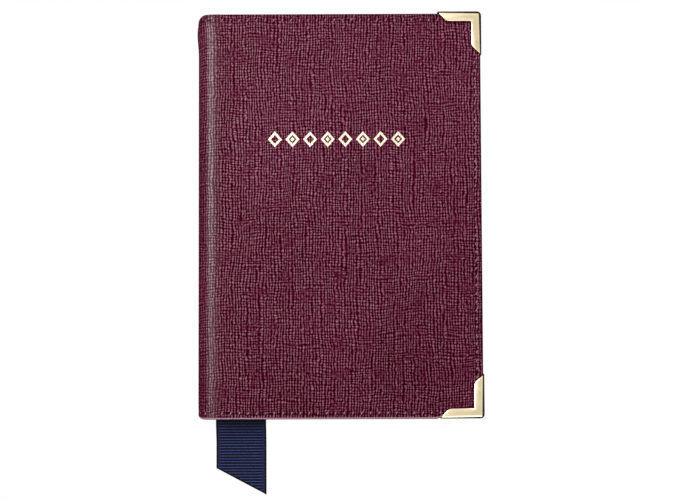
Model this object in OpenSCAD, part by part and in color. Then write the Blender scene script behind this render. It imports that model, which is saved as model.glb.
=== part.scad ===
// Book-style passport holder. Two board-stiffened leather covers are joined by a soft, rounded
// spine. Inside are a cloth lining, a passport sleeve on each cover and a ribbon marker that is
// caught in the seam at the head. Folded metal clamps guard the four fore-edge corners.
//
// The holder lies closed on its back cover. X runs from the spine to the fore-edge, Y from the
// tail to the head, and Z up. The origin is the middle of the back cover's outer face.
// Every cover piece is drawn for the back cover, with its outer face at z = 0, and is mirrored
// to make the front cover.

/* [Covers] */
// Height of the covers, from tail to head
cover_h = 143; // [134:1:150]
// Width of the closed holder, from the outside of the spine to the fore-edge
cover_w = 100; // [95:0.2:106]
// Thickness of the closed holder, over its two leather faces
closed_t = 12.4; // [12:0.2:14]
// Thickness of the outer leather
leather_t = 0.8; // [0.7:0.05:0.9]
// Thickness of the stiffening boards
board_t = 0.7; // [0.6:0.05:0.8]
// Thickness of the leather where it is pared and turned in over a board
turn_in_t = 0.4; // [0.35:0.05:0.5]
// Width of the leather that is turned in over a board
turn_in_w = 8; // [6:0.5:10]
// Thickness of the lining cloth
lining_t = 0.3; // [0.25:0.05:0.4]
// Distance from the edge of the leather to the edge of the lining
lining_inset = 1.2; // [1:0.1:1.5]

/* [Spine] */
// Thickness of the reinforcement sheet behind the spine leather
reinforcement_t = 0.5; // [0.4:0.05:0.6]
// Distance from the start of the spine's curve to the edge of a board
hinge_flat_w = 2; // [1.5:0.25:3]
// Clearance angle on each side of a fold line
fold_gap = 0.8; // [0.6:0.1:1.2]

/* [Sleeves] */
// Thickness of the sleeve leather
sleeve_t = 0.6; // [0.5:0.05:0.7]
// Thickness of a sleeve's turned hem, which is also the height of its slot
hem_t = 0.8; // [0.7:0.05:0.9]
// Width of a sleeve's turned hem
hem_w = 6; // [5:0.5:8]
// Depth of a sleeve, from its mouth to its outer edge
sleeve_depth = 62; // [55:1:68]
// Distance from the edge of the leather to the edge of a sleeve
sleeve_inset = 0.6; // [0.5:0.1:0.9]

/* [Corner clamps] */
// Length of a clamp along each edge
clamp_leg = 15.6; // [12:0.2:18]
// Width of a clamp's plates
clamp_w = 3.6; // [3:0.1:4.2]
// Thickness of the clamp sheet
clamp_t = 0.4; // [0.4:0.05:0.6]
// Depth that a clamp's plates are pressed into the leather
clamp_recess = 0.15; // [0.1:0.05:0.2]
// Gap between the head clamps and the head edge of the leather
clamp_head_gap = 0.4; // [0:0.05:0.5]
// How far the tail clamps bite into the leather's edge, in mm
clamp_tail_bite = 0.5; // [0:0.05:0.5]
// Slope of the slanted ends of a clamp's plates
clamp_end_slope = 50; // [40:1:60]
// Radius where a slanted end meets the inner edge
clamp_end_r = 2.6; // [1:0.1:3]
// Radius of the clamp's outer corner
clamp_corner_r = 1; // [0.5:0.1:1.2]

/* [Stitching] */
// Distance from the edge of the leather to the seam
seam_inset = 2.2; // [2:0.1:2.6]
// Distance from one stitch to the next
stitch_pitch = 3; // [2.6:0.1:3.4]
// Length of a stitch
stitch_l = 2.3; // [2:0.1:2.5]
// Diameter of the thread
thread_d = 0.3; // [0.25:0.05:0.35]
// Slant of the stitches
stitch_slant = 8; // [0:1:9]
// Width of the groove that the seam lies in
groove_w = 0.7; // [0.7:0.05:0.9]

/* [Ribbon] */
// Width of the ribbon marker
ribbon_w = 17.8; // [14:0.2:19]
// Thickness of the ribbon
ribbon_t = 0.4; // [0.3:0.05:0.5]
// Distance from the outside of the spine to the ribbon
ribbon_offset = 5.9; // [5.8:0.1:9]
// Length of the ribbon's long side below the covers
tail_l = 26.6; // [20:0.2:35]
// Difference between the two sides of the slanted cut
tail_slant = 9.4; // [5:0.2:12]
// Length over which the tail comes down to the table
tail_drop_l = 9; // [8:0.5:10]

/* [Foil marks] */
// Number of marks in the row
foil_count = 8; // [6:1:9]
// Height of a mark
foil_h = 5.5; // [4.5:0.1:6]
// Width of a mark
foil_w = 4.9; // [4:0.1:5.4]
// Distance from one mark to the next
foil_pitch = 6.2; // [5.6:0.1:7]
// Width of the foil line
foil_line = 0.75; // [0.5:0.05:1]
// Height of the solid lozenge inside every second mark
foil_dot_h = 1.6; // [1.2:0.1:2]
// Height of the row above the middle of the cover
foil_y = 26.8; // [20:0.2:35]
// Offset of the row from the middle of the cover
foil_x = -1; // [-3:0.5:3]
// Thickness of the foil
foil_t = 0.1; // [0.06:0.02:0.1]
// Depth of the foil's top below the face of the leather
foil_sink = 0.05; // [0.02:0.01:0.08]

/* [Hidden] */
$fn = 96;

// colours
burgundy = [0.36, 0.12, 0.19];
sleeve_burgundy = [0.40, 0.14, 0.21];
thread_burgundy = [0.48, 0.22, 0.29];
navy = [0.08, 0.10, 0.22];
ribbon_navy = [0.11, 0.13, 0.27];
grey_card = [0.55, 0.52, 0.48];
gold = [0.90, 0.80, 0.62];

// edges of the covers
half_h = cover_h / 2;
fore_x = cover_w / 2;
spine_r = closed_t / 2;
curve_x = -fore_x + spine_r;          // where the spine's curve meets the flat cover
board_x = curve_x + hinge_flat_w;     // the board's edge at the spine
sleeve_x = fore_x - sleeve_depth;     // the mouth of a sleeve
sleeve_outer_x = fore_x - sleeve_inset;
sleeve_half_y = half_h - sleeve_inset;

// heights of the layers above a cover's outer face
board_top = leather_t + board_t;
lining_bottom = board_top + turn_in_t;
lining_top = lining_bottom + lining_t;
hinge_lining_bottom = leather_t + reinforcement_t;
hinge_lining_top = hinge_lining_bottom + lining_t;
sleeve_bottom = lining_top + hem_t;
sleeve_top = sleeve_bottom + sleeve_t;
lining_step_l = lining_bottom - hinge_lining_bottom;

// the spine's half circle is four folds and three strips between them
fold_count = 4;
fold_step = 180 / fold_count;
first_fold = fold_step / 2;
cover_end = first_fold - fold_gap;    // where a cover's layers end on the curve
curve_steps = 12;

// seam
thread_gap = 0.02;                    // gap between a thread and what it lies on
groove_depth = thread_d + thread_gap;
thread_rest = thread_d / 2 + thread_gap;
curve_stitch_share = 0.8;             // share of the spacing that a stitch on the spine fills
clamp_reach = clamp_leg - clamp_t;    // how far a clamp reaches in from the leather's edge
row_y = half_h - seam_inset;
row_x1 = fore_x - clamp_reach;
row_fore_x = fore_x - seam_inset;
row_half_y = half_h - clamp_reach;

// ribbon
ribbon_gap = 0.05;                    // gap between the ribbon and what it lies on
ribbon_x = -fore_x + ribbon_offset;
ribbon_z = lining_top + thread_d + ribbon_gap;
ribbon_head_y = half_h - lining_inset - ribbon_t;
ribbon_tail_y = -half_h - ribbon_gap;
ribbon_seam_gap = stitch_pitch / 2;   // space left in the seam beside the ribbon
tail_gap = 0.3;                       // gap where the tail turns against the rest of the ribbon
tail_y = ribbon_tail_y - tail_gap;
table_z = clamp_recess - clamp_t;     // the clamps touch the table first
tail_steps = 8;

// foil
foil_dot_w = foil_dot_h * foil_w / foil_h;

slack = 1;                            // how far a cutting shape runs past a face

// ---- shared shapes ----

// Mirrors a piece of the back cover into its place on the front cover
module on_front() {
    translate([0, 0, closed_t]) mirror([0, 0, 1]) children();
}

// Part of the spine's curve: angles run from the back cover round to the front cover
module spine_sector(from, to, r_in, r_out, y0, y1) {
    translate([curve_x, 0, spine_r]) rotate([90, 0, 0]) rotate([0, 0, 270 - to])
        rotate_extrude(angle = to - from)
            translate([r_in, -y1]) square([r_out - r_in, y1 - y0]);
}

// Points round the spine's curve, as [x, z]
function curve_points(radius, from, to) = [for (i = [0 : curve_steps])
    let (angle = from + (to - from) * i / curve_steps)
    [curve_x - radius * sin(angle), spine_r - radius * cos(angle)]];

// A layer that is flat up to flat_x and follows the start of the spine's curve
module hinge_layer(z0, z1, to, half_y, flat_x = board_x) {
    rotate([90, 0, 0]) linear_extrude(2 * half_y, center = true) polygon(concat(
        curve_points(spine_r - z0, to, 0),
        [[flat_x, z0], [flat_x, z1]],
        curve_points(spine_r - z1, 0, to)
    ));
}

// A box that is centred on the middle of the cover's height
module slab(x0, x1, half_y, z0, z1) {
    translate([x0, -half_y, z0]) cube([x1 - x0, 2 * half_y, z1 - z0]);
}

// Outline of a clamp's plate, with its outer corner at [0, 0] and its legs along -X and -Y
module clamp_leg_outline() {
    slope = clamp_end_slope;
    end_r = clamp_end_r;
    middle_y = end_r - clamp_w;
    slant_run = (end_r * cos(slope) - middle_y) / tan(slope);
    middle_x = slant_run + end_r * sin(slope) - clamp_leg;
    translate([middle_x, -clamp_w]) square([-middle_x - clamp_corner_r, clamp_w]);
    intersection() {
        translate([middle_x, middle_y]) circle(end_r);
        translate([-clamp_leg, -clamp_w]) square([clamp_leg, clamp_w]);
    }
    polygon([[-clamp_leg, 0],
             [middle_x - end_r * sin(slope), middle_y - end_r * cos(slope)],
             [middle_x, middle_y], [middle_x, 0]]);
}

module clamp_outline() {
    clamp_leg_outline();
    rotate(-90) mirror([1, 0]) clamp_leg_outline();
    translate([-clamp_w, -clamp_w]) square([clamp_w - clamp_corner_r, clamp_w - clamp_corner_r]);
    translate([-clamp_corner_r, -clamp_corner_r]) circle(clamp_corner_r);
}

// Places children at the head or tail corner of the fore-edge: side is 1 or -1
module at_fore_corner(side) {
    flip = side > 0 ? 0 : 1;
    gap = side > 0 ? clamp_head_gap : -clamp_tail_bite;
    mirror([0, flip, 0]) translate([fore_x + clamp_t, half_h + clamp_t + gap, 0]) children();
}

module clamp_prism(z0, z1) {
    translate([0, 0, z0]) linear_extrude(z1 - z0) clamp_outline();
}

// One stitch, lying along X
module stitch(length = stitch_l) {
    rotate([0, 90, 0]) cylinder(d = thread_d, h = length, center = true);
}

// A row of slanted stitches along X, from x0 to x1, leaving out those between skip0 and skip1
module stitch_row(x0, x1, skip0 = 0, skip1 = 0) {
    count = floor((x1 - x0) / stitch_pitch);
    step = (x1 - x0) / count;
    for (i = [0 : count - 1]) {
        x = x0 + (i + 0.5) * step;
        if (x < skip0 || x > skip1 || skip0 == skip1)
            translate([x, 0, 0]) rotate([0, 0, stitch_slant]) stitch();
    }
}

// A stitch across the spine's curve, at an angle round it
module curve_stitch(angle, r) {
    translate([curve_x, 0, spine_r]) rotate([0, angle, 0]) translate([0, 0, -r])
        stitch(curve_stitch_share * r * fold_step / 2 * PI / 180);
}

// The stitches at head and tail that lie at one angle of the spine's curve, outside and inside
module curve_stitches(angle) {
    for (side = [-1, 1]) translate([0, side * row_y, 0]) {
        curve_stitch(angle, spine_r - thread_rest);
        curve_stitch(angle, spine_r - hinge_lining_top - thread_rest);
    }
}

// ---- pieces of a cover ----

// The groove that the seam lies in, on the outer face
module seam_groove() {
    for (side = [-1, 1]) translate([0, side * row_y, 0])
        hinge_layer(-slack, groove_depth, first_fold, groove_w / 2, row_x1 + slack);
    slab(row_fore_x - groove_w / 2, row_fore_x + groove_w / 2, row_half_y + slack,
         -slack, groove_depth);
}

// Outer leather: face, turned edges on three sides, and the first part of the spine's curve
module cover_leather_shape() {
    inner_half = half_h - leather_t;
    difference() {
        union() {
            slab(board_x, fore_x, half_h, 0, lining_bottom);
            hinge_layer(0, hinge_lining_bottom, cover_end, half_h);
        }
        slab(board_x - slack, fore_x - leather_t, inner_half, leather_t, board_top);
        slab(board_x - slack, fore_x - leather_t - turn_in_w, inner_half - turn_in_w,
             leather_t, lining_bottom + slack);
        hinge_layer(leather_t, hinge_lining_bottom + slack, first_fold, inner_half);
        seam_groove();
        for (side = [-1, 1]) at_fore_corner(side) clamp_prism(-slack, clamp_recess);
        tail_pinch();
    }
}

// The leather's tail edge is pinched in where the clamp folds round it
module tail_pinch() {
    translate([fore_x - clamp_reach, -half_h - slack, -slack])
        cube([clamp_reach + slack, clamp_tail_bite + slack, lining_bottom + 2 * slack]);
}

module cover_board() {
    slab(board_x, fore_x - leather_t, half_h - leather_t, leather_t, board_top);
}

// Thin card that fills the space inside the turned-in leather
module cover_infill() {
    slab(board_x, fore_x - leather_t - turn_in_w, half_h - leather_t - turn_in_w,
         board_top, lining_bottom);
}

// The edge of the spine's reinforcement sheet that reaches under the cover
module hinge_reinforcement() {
    hinge_layer(leather_t, hinge_lining_bottom, cover_end, half_h - leather_t);
}

// Lining cloth, which steps down from the board to the spine
module cover_lining() {
    step_x = board_x - lining_step_l;
    edge_x = fore_x - lining_inset;
    rotate([90, 0, 0]) linear_extrude(2 * (half_h - lining_inset), center = true) polygon(concat(
        curve_points(spine_r - hinge_lining_bottom, cover_end, 0),
        [[step_x, hinge_lining_bottom], [board_x, lining_bottom], [edge_x, lining_bottom],
         [edge_x, lining_top], [board_x, lining_top], [step_x, hinge_lining_top]],
        curve_points(spine_r - hinge_lining_top, 0, cover_end)
    ));
}

// Turned hem of a sleeve on its fore-edge side
module sleeve_fore_hem() {
    slab(sleeve_outer_x - hem_w, sleeve_outer_x, sleeve_half_y, lining_top, sleeve_bottom);
}

// Turned hem of a sleeve at the head; the tail's is its mirror image
module sleeve_head_hem() {
    translate([sleeve_x, sleeve_half_y - hem_w, lining_top])
        cube([sleeve_outer_x - hem_w - sleeve_x, hem_w, hem_t]);
}

module sleeve_tail_hem() { mirror([0, 1, 0]) sleeve_head_hem(); }

// Leather of a sleeve, open towards the spine
module sleeve_panel() {
    difference() {
        slab(sleeve_x, sleeve_outer_x, sleeve_half_y, sleeve_bottom, sleeve_top);
        for (side = [-1, 1]) {
            translate([sleeve_x - slack, side * row_y - groove_w / 2, sleeve_top - groove_depth])
                cube([row_x1 - sleeve_x + 2 * slack, groove_w, groove_depth + slack]);
            at_fore_corner(side) clamp_prism(sleeve_top - clamp_recess, sleeve_top + slack);
        }
        slab(row_fore_x - groove_w / 2, row_fore_x + groove_w / 2, row_half_y + slack,
             sleeve_top - groove_depth, sleeve_top + slack);
    }
}

// Folded metal clamp: an outer plate, an inner plate and the wall that joins them
module clamp_shape(side) {
    bottom = clamp_recess - clamp_t;
    top = sleeve_top - clamp_recess + clamp_t;
    at_fore_corner(side) {
        clamp_prism(bottom, clamp_recess);
        clamp_prism(sleeve_top - clamp_recess, top);
        difference() {
            clamp_prism(bottom, top);
            translate([-clamp_leg - slack, -clamp_leg - slack, bottom - slack])
                cube([clamp_leg + slack - clamp_t, clamp_leg + slack - clamp_t,
                      top - bottom + 2 * slack]);
        }
    }
}

// All the stitches of a cover: the outer seam, and the same seam as it shows inside
module cover_stitching(skip0 = 0, skip1 = 0) {
    for (side = [-1, 1]) translate([0, side * row_y, 0]) {
        translate([0, 0, thread_rest]) stitch_row(curve_x, row_x1);
        translate([0, 0, lining_top + thread_rest])
            stitch_row(board_x, sleeve_x, side > 0 ? skip0 : 0, side > 0 ? skip1 : 0);
        translate([0, 0, sleeve_top - thread_rest]) stitch_row(sleeve_x, row_x1);
    }
    for (z = [thread_rest, sleeve_top - thread_rest])
        translate([row_fore_x, 0, z]) rotate([0, 0, 90]) stitch_row(-row_half_y, row_half_y);
    curve_stitches(first_fold / 2);
}

// ---- spine strips: each turns as one body between two fold lines ----

function strip_start(i) = first_fold + i * fold_step + fold_gap;
function strip_end(i) = first_fold + (i + 1) * fold_step - fold_gap;

module strip_leather(i) {
    color(burgundy) difference() {
        spine_sector(strip_start(i), strip_end(i), spine_r - hinge_lining_bottom, spine_r,
                     -half_h, half_h);
        spine_sector(0, 180, spine_r - hinge_lining_bottom - slack, spine_r - leather_t,
                     -half_h + leather_t, half_h - leather_t);
        for (side = [-1, 1])
            spine_sector(0, 180, spine_r - groove_depth, spine_r + slack,
                         side * row_y - groove_w / 2, side * row_y + groove_w / 2);
    }
}

module strip_reinforcement(i) {
    color(grey_card) spine_sector(strip_start(i), strip_end(i), spine_r - hinge_lining_bottom,
                                  spine_r - leather_t, -half_h + leather_t, half_h - leather_t);
}

module strip_lining(i) {
    color(navy) spine_sector(strip_start(i), strip_end(i), spine_r - hinge_lining_top,
                             spine_r - hinge_lining_bottom, -half_h + lining_inset,
                             half_h - lining_inset);
}

module strip_stitching(i) {
    color(thread_burgundy) for (part = [0.25, 0.75])
        curve_stitches(first_fold + (i + part) * fold_step);
}

// ---- foil marks: a row of lozenges, every second one with a smaller lozenge inside ----

module lozenge(w, h) {
    polygon([[w / 2, 0], [0, h / 2], [-w / 2, 0], [0, -h / 2]]);
}

module foil_mark(filled) {
    inner = 1 - 2 * foil_line * sqrt(foil_w * foil_w + foil_h * foil_h) / (foil_w * foil_h);
    difference() {
        lozenge(foil_w, foil_h);
        lozenge(inner * foil_w, inner * foil_h);
    }
    if (filled) lozenge(foil_dot_w, foil_dot_h);
}

module foil_row(z0, z1) {
    middle = (foil_count - 1) / 2;
    translate([foil_x, foil_y, z0]) linear_extrude(z1 - z0)
        for (i = [0 : foil_count - 1]) translate([(i - middle) * foil_pitch, 0])
            foil_mark(i % 2 == 1);
}

// ---- ribbon ----

// Height of the tail's underside at a share of its way down to the table
function tail_drop(share) = table_z + (ribbon_z - table_z) * (1 + cos(180 * share)) / 2;

module ribbon_tail_profile() {
    under = [for (i = [0 : tail_steps])
        [tail_y - tail_drop_l * i / tail_steps, tail_drop(i / tail_steps)]];
    end_y = tail_y - tail_l;
    polygon(concat(
        under,
        [[end_y, table_z], [end_y, table_z + ribbon_t]],
        [for (i = [tail_steps : -1 : 0]) under[i] + [0, ribbon_t]]
    ));
}

// ---- nodes of the back cover ----

module back_cover_leather() { color(burgundy) cover_leather_shape(); }
module back_board() { color(grey_card) cover_board(); }
module back_infill() { color(grey_card) cover_infill(); }
module back_hinge_reinforcement() { color(grey_card) hinge_reinforcement(); }
module back_lining() { color(navy) cover_lining(); }
module back_sleeve_head_hem() { color(sleeve_burgundy) sleeve_head_hem(); }
module back_sleeve_fore_hem() { color(sleeve_burgundy) sleeve_fore_hem(); }
module back_sleeve_tail_hem() { color(sleeve_burgundy) sleeve_tail_hem(); }
module back_sleeve() { color(sleeve_burgundy) sleeve_panel(); }
module back_head_clamp() { color(gold) clamp_shape(1); }
module back_tail_clamp() { color(gold) clamp_shape(-1); }

// The seam is left out where the ribbon is sewn in, which has stitches of its own
module back_stitching() {
    color(thread_burgundy) cover_stitching(ribbon_x - ribbon_seam_gap,
                                           ribbon_x + ribbon_w + ribbon_seam_gap);
}

module ribbon_marker() {
    color(ribbon_navy) translate([ribbon_x, ribbon_tail_y, ribbon_z])
        cube([ribbon_w, ribbon_head_y - ribbon_tail_y, ribbon_t]);
}

module ribbon_anchor_stitches() {
    color(thread_burgundy) translate([0, row_y, ribbon_z + ribbon_t + thread_rest])
        stitch_row(ribbon_x, ribbon_x + ribbon_w);
}

module ribbon_tail() {
    color(ribbon_navy) intersection() {
        translate([ribbon_x, 0, 0]) rotate([90, 0, 90]) linear_extrude(ribbon_w)
            ribbon_tail_profile();
        translate([0, 0, table_z - slack]) linear_extrude(ribbon_z + 2 * slack + ribbon_t)
            polygon([
                [ribbon_x - slack, tail_y + slack], [ribbon_x + ribbon_w + slack, tail_y + slack],
                [ribbon_x + ribbon_w, tail_y - tail_l],
                [ribbon_x, tail_y - tail_l + tail_slant],
                [ribbon_x - slack, tail_y - tail_l + tail_slant]
            ]);
    }
}

// ---- nodes of the spine ----

module spine_back_leather() { strip_leather(0); }
module spine_back_reinforcement() { strip_reinforcement(0); }
module spine_back_lining() { strip_lining(0); }
module spine_back_stitching() { strip_stitching(0); }
module spine_middle_leather() { strip_leather(1); }
module spine_middle_reinforcement() { strip_reinforcement(1); }
module spine_middle_lining() { strip_lining(1); }
module spine_middle_stitching() { strip_stitching(1); }
module spine_front_leather() { strip_leather(2); }
module spine_front_reinforcement() { strip_reinforcement(2); }
module spine_front_lining() { strip_lining(2); }
module spine_front_stitching() { strip_stitching(2); }

// ---- nodes of the front cover ----

// The foil is pressed into the leather
module front_cover_leather() {
    color(burgundy) on_front() difference() {
        cover_leather_shape();
        foil_row(-slack, foil_sink + foil_t);
    }
}

module front_board() { color(grey_card) on_front() cover_board(); }
module front_infill() { color(grey_card) on_front() cover_infill(); }
module front_hinge_reinforcement() { color(grey_card) on_front() hinge_reinforcement(); }
module front_lining() { color(navy) on_front() cover_lining(); }
module front_sleeve_head_hem() { color(sleeve_burgundy) on_front() sleeve_head_hem(); }
module front_sleeve_fore_hem() { color(sleeve_burgundy) on_front() sleeve_fore_hem(); }
module front_sleeve_tail_hem() { color(sleeve_burgundy) on_front() sleeve_tail_hem(); }
module front_sleeve() { color(sleeve_burgundy) on_front() sleeve_panel(); }
module front_head_clamp() { color(gold) on_front() clamp_shape(1); }
module front_tail_clamp() { color(gold) on_front() clamp_shape(-1); }
module front_stitching() { color(thread_burgundy) on_front() cover_stitching(); }
module foil_marks() { color(gold) on_front() foil_row(foil_sink, foil_sink + foil_t); }

back_cover_leather();
back_board();
back_infill();
back_hinge_reinforcement();
back_lining();
back_sleeve_head_hem();
back_sleeve_fore_hem();
back_sleeve_tail_hem();
back_sleeve();
back_head_clamp();
back_tail_clamp();
back_stitching();
ribbon_marker();
ribbon_anchor_stitches();
spine_back_leather();
spine_back_reinforcement();
spine_back_lining();
spine_back_stitching();
spine_middle_leather();
spine_middle_reinforcement();
spine_middle_lining();
spine_middle_stitching();
spine_front_leather();
spine_front_reinforcement();
spine_front_lining();
spine_front_stitching();
front_cover_leather();
front_board();
front_infill();
front_hinge_reinforcement();
front_lining();
front_sleeve_head_hem();
front_sleeve_fore_hem();
front_sleeve_tail_hem();
front_sleeve();
front_head_clamp();
front_tail_clamp();
front_stitching();
foil_marks();
ribbon_tail();
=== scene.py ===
import math

import bmesh
import bpy
from mathutils import Matrix, Vector


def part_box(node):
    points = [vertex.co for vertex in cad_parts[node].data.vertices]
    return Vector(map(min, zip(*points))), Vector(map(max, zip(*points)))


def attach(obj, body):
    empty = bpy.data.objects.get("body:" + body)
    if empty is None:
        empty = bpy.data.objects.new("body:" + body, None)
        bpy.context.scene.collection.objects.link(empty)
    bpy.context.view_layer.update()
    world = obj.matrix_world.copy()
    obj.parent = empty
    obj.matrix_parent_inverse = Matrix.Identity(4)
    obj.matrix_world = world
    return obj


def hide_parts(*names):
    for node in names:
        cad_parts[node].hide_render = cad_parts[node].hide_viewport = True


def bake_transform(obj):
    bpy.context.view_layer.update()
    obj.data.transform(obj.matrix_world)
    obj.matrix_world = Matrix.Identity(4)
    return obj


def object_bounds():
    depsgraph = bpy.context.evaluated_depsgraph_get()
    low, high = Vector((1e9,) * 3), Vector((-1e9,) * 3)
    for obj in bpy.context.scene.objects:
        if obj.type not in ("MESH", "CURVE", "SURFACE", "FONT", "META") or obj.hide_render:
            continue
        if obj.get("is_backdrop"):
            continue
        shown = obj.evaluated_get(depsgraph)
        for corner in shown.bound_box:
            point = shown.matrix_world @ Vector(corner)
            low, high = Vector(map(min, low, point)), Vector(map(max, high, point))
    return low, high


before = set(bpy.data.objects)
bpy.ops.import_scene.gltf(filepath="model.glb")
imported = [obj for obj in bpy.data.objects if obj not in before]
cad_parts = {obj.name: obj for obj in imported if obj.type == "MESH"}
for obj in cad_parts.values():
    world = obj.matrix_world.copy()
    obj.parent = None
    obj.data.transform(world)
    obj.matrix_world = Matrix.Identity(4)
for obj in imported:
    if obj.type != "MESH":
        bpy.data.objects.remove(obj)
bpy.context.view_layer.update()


# ---- Camera and light ----
# A long lens looks almost straight down on the front cover, from slightly towards the tail.
# One large softbox stands on the spine's side, and the rest of the light is a soft dome.

MM = 0.001
_, front_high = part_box("front_cover_leather")
half_width, half_height = front_high.x, front_high.y
thickness = front_high.z

aim = Vector((-0.8 * MM, -12.33 * MM, thickness))
camera_distance, camera_tilt, camera_roll = 0.6, math.radians(3.6), math.radians(-0.22)
seen_width = 236.79 * MM      # what the view spans at the aim
camera = bpy.data.objects.new("camera", bpy.data.cameras.new("camera"))
bpy.context.scene.collection.objects.link(camera)
camera.matrix_world = (
    Matrix.Translation(aim)
    @ Matrix.Rotation(camera_tilt, 4, "X")
    @ Matrix.Rotation(camera_roll, 4, "Z")
    @ Matrix.Translation((0, 0, camera_distance))
)
camera.data.sensor_width = 36
camera.data.lens = camera.data.sensor_width * camera_distance / seen_width
camera.data.clip_end = 20
bpy.context.scene.camera = camera
bpy.context.scene.view_settings.view_transform = "Standard"


def softbox(name, turn, size, radiance, colour):
    """A rectangular light a metre from the holder, turned from straight above it."""
    light = bpy.data.lights.new(name, "AREA")
    light.shape = "RECTANGLE"
    light.size, light.size_y = size
    light.energy = radiance * math.pi * size[0] * size[1]
    light.color = colour
    lamp = bpy.data.objects.new(name, light)
    lamp.matrix_world = turn @ Matrix.Translation((0, 0, 1.0))
    bpy.context.scene.collection.objects.link(lamp)


towards_spine = Matrix.Rotation(math.radians(-14), 4, "X") @ Matrix.Rotation(math.radians(-32.5), 4, "Y")
softbox("spine_softbox", towards_spine, (0.66, 0.5), 8.5, (1, 0.975, 0.965))


class Wire:
    """The output of a shader node, with the arithmetic that the finishes use."""

    def __init__(self, finish, output):
        self.finish, self.output = finish, output

    def maths(self, operation, *values):
        inputs = dict(enumerate((self,) + values))
        return self.finish.node("ShaderNodeMath", {"operation": operation}, inputs)

    def __add__(self, other):
        return self.maths("ADD", other)

    def __sub__(self, other):
        return self.maths("SUBTRACT", other)

    def __mul__(self, other):
        return self.maths("MULTIPLY", other)

    def __rsub__(self, other):
        return self.maths("MULTIPLY_ADD", -1.0, other)

    __radd__, __rmul__ = __add__, __mul__

    def wave(self, pitch):
        """A sine of this length in metres, from 0 to 1."""
        return (self * (2 * math.pi / pitch)).maths("SINE") * 0.5 + 0.5

    def step(self, low, high):
        """0 below low, 1 above high, and smooth in between."""
        inputs = {"Value": self, "From Min": low, "From Max": high}
        settings = {"interpolation_type": "SMOOTHSTEP"}
        return self.finish.node("ShaderNodeMapRange", settings, inputs)


class Finish:
    """The shader nodes of a material or of the studio."""

    def __init__(self, owner):
        owner.use_nodes = True
        self.owner, self.tree = owner, owner.node_tree
        self.tree.nodes.clear()

    def node(self, kind, settings=None, inputs=None, output=0):
        new = self.tree.nodes.new(kind)
        for key, value in (settings or {}).items():
            if key == "stops":
                ramp = new.color_ramp
                while len(ramp.elements) < len(value):
                    ramp.elements.new(0.5)
                for element, (place, colour) in zip(ramp.elements, value):
                    element.position, element.color = place, colour
            else:
                setattr(new, key, value)
        for key, value in (inputs or {}).items():
            if isinstance(value, Wire):
                self.tree.links.new(value.output, new.inputs[key])
            else:
                new.inputs[key].default_value = value
        return Wire(self, new.outputs[output]) if new.outputs else None

    def place(self, attribute=None):
        """Where a point lies: on the object, or on the flat cut that an attribute records."""
        if attribute:
            return self.node("ShaderNodeAttribute", {"attribute_name": attribute}, output="Vector")
        return self.node("ShaderNodeTexCoord", output="Object")

    def axes(self, place):
        split = self.node("ShaderNodeSeparateXYZ", None, {0: place}).output.node
        return [Wire(self, output) for output in split.outputs]

    def noise(self, place, scale, detail=2.0, offset=0.0):
        """Noise with its own number of features for each metre along X, Y and Z."""
        settings = {"vector_type": "POINT"}
        inputs = {"Vector": place, "Scale": scale, "Location": (offset, offset, offset)}
        moved = self.node("ShaderNodeMapping", settings, inputs)
        return self.node("ShaderNodeTexNoise", None, {"Vector": moved, "Scale": 1.0, "Detail": detail})

    def ramp(self, factor, stops):
        return self.node("ShaderNodeValToRGB", {"stops": stops}, {"Fac": factor})

    def mix(self, factor, first, second):
        settings = {"data_type": "RGBA"}
        return self.node("ShaderNodeMix", settings, {0: factor, 6: first, 7: second}, output=2)

    def bump(self, height, depth, strength=1.0):
        inputs = {"Height": height, "Distance": depth, "Strength": strength}
        return self.node("ShaderNodeBump", None, inputs)

    def surface(self, **inputs):
        names = {key.replace("_", " ").title().replace("Ior", "IOR"): value for key, value in inputs.items()}
        shader = self.node("ShaderNodeBsdfPrincipled", None, names)
        self.node("ShaderNodeOutputMaterial", None, {"Surface": shader})
        return self.owner


def linear(red, green, blue):
    """A colour from its 0 to 255 display values, as the linear values that shaders take."""
    parts = [c / 255 for c in (red, green, blue)]
    return tuple(p / 12.92 if p <= 0.04045 else ((p + 0.055) / 1.055) ** 2.4 for p in parts) + (1,)


# the dome is a ring of soft light round the camera, with a low bright patch beyond the tail
sky = Finish(bpy.data.worlds.new("studio"))
direction = sky.axes(sky.node("ShaderNodeTexCoord", output="Generated"))
overhead = direction[2].step(0.9, 0.975)
side_shade = 1 - direction[0].maths("ABSOLUTE").step(0.35, 0.8) * 0.8
tail_glow = (direction[1] * -1.0).step(0.5, 0.75) * direction[2].step(0.3, 0.5)
raised = direction[2] - direction[1].maths("MAXIMUM", 0.0) * 0.35
dome = raised.step(0.35, 0.6) * side_shade * (1.15 - overhead * 0.46) + tail_glow * 2.0 + 0.01
seen = sky.node("ShaderNodeLightPath", output="Is Camera Ray")
light = sky.node("ShaderNodeBackground", None, {"Color": (1, 0.985, 0.965, 1), "Strength": dome})
white = sky.node("ShaderNodeBackground", None, {"Color": (1, 1, 1, 1), "Strength": 1.0})
both = sky.node("ShaderNodeMixShader", None, {0: seen, 1: light, 2: white})
sky.node("ShaderNodeOutputWorld", None, {"Surface": both})
bpy.context.scene.world = sky.owner


# ---- Outer leather ----
# One burgundy goatskin wrap with a crossgrain print runs over both covers and the spine.
# Its edges are turned in over the boards, and a crease under the seam leaves a raised hem.
# It is cut at the middles of the spine strips, into four lengths.

spine_radius = thickness / 2
curve_x = -half_width + spine_radius
flat_length = half_width - curve_x
curve_length = math.pi * spine_radius
wrap_length = 2 * flat_length + curve_length

GRAIN_RIDGE, GRAIN_CROSS = 1.02 * MM, 0.98 * MM


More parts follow.
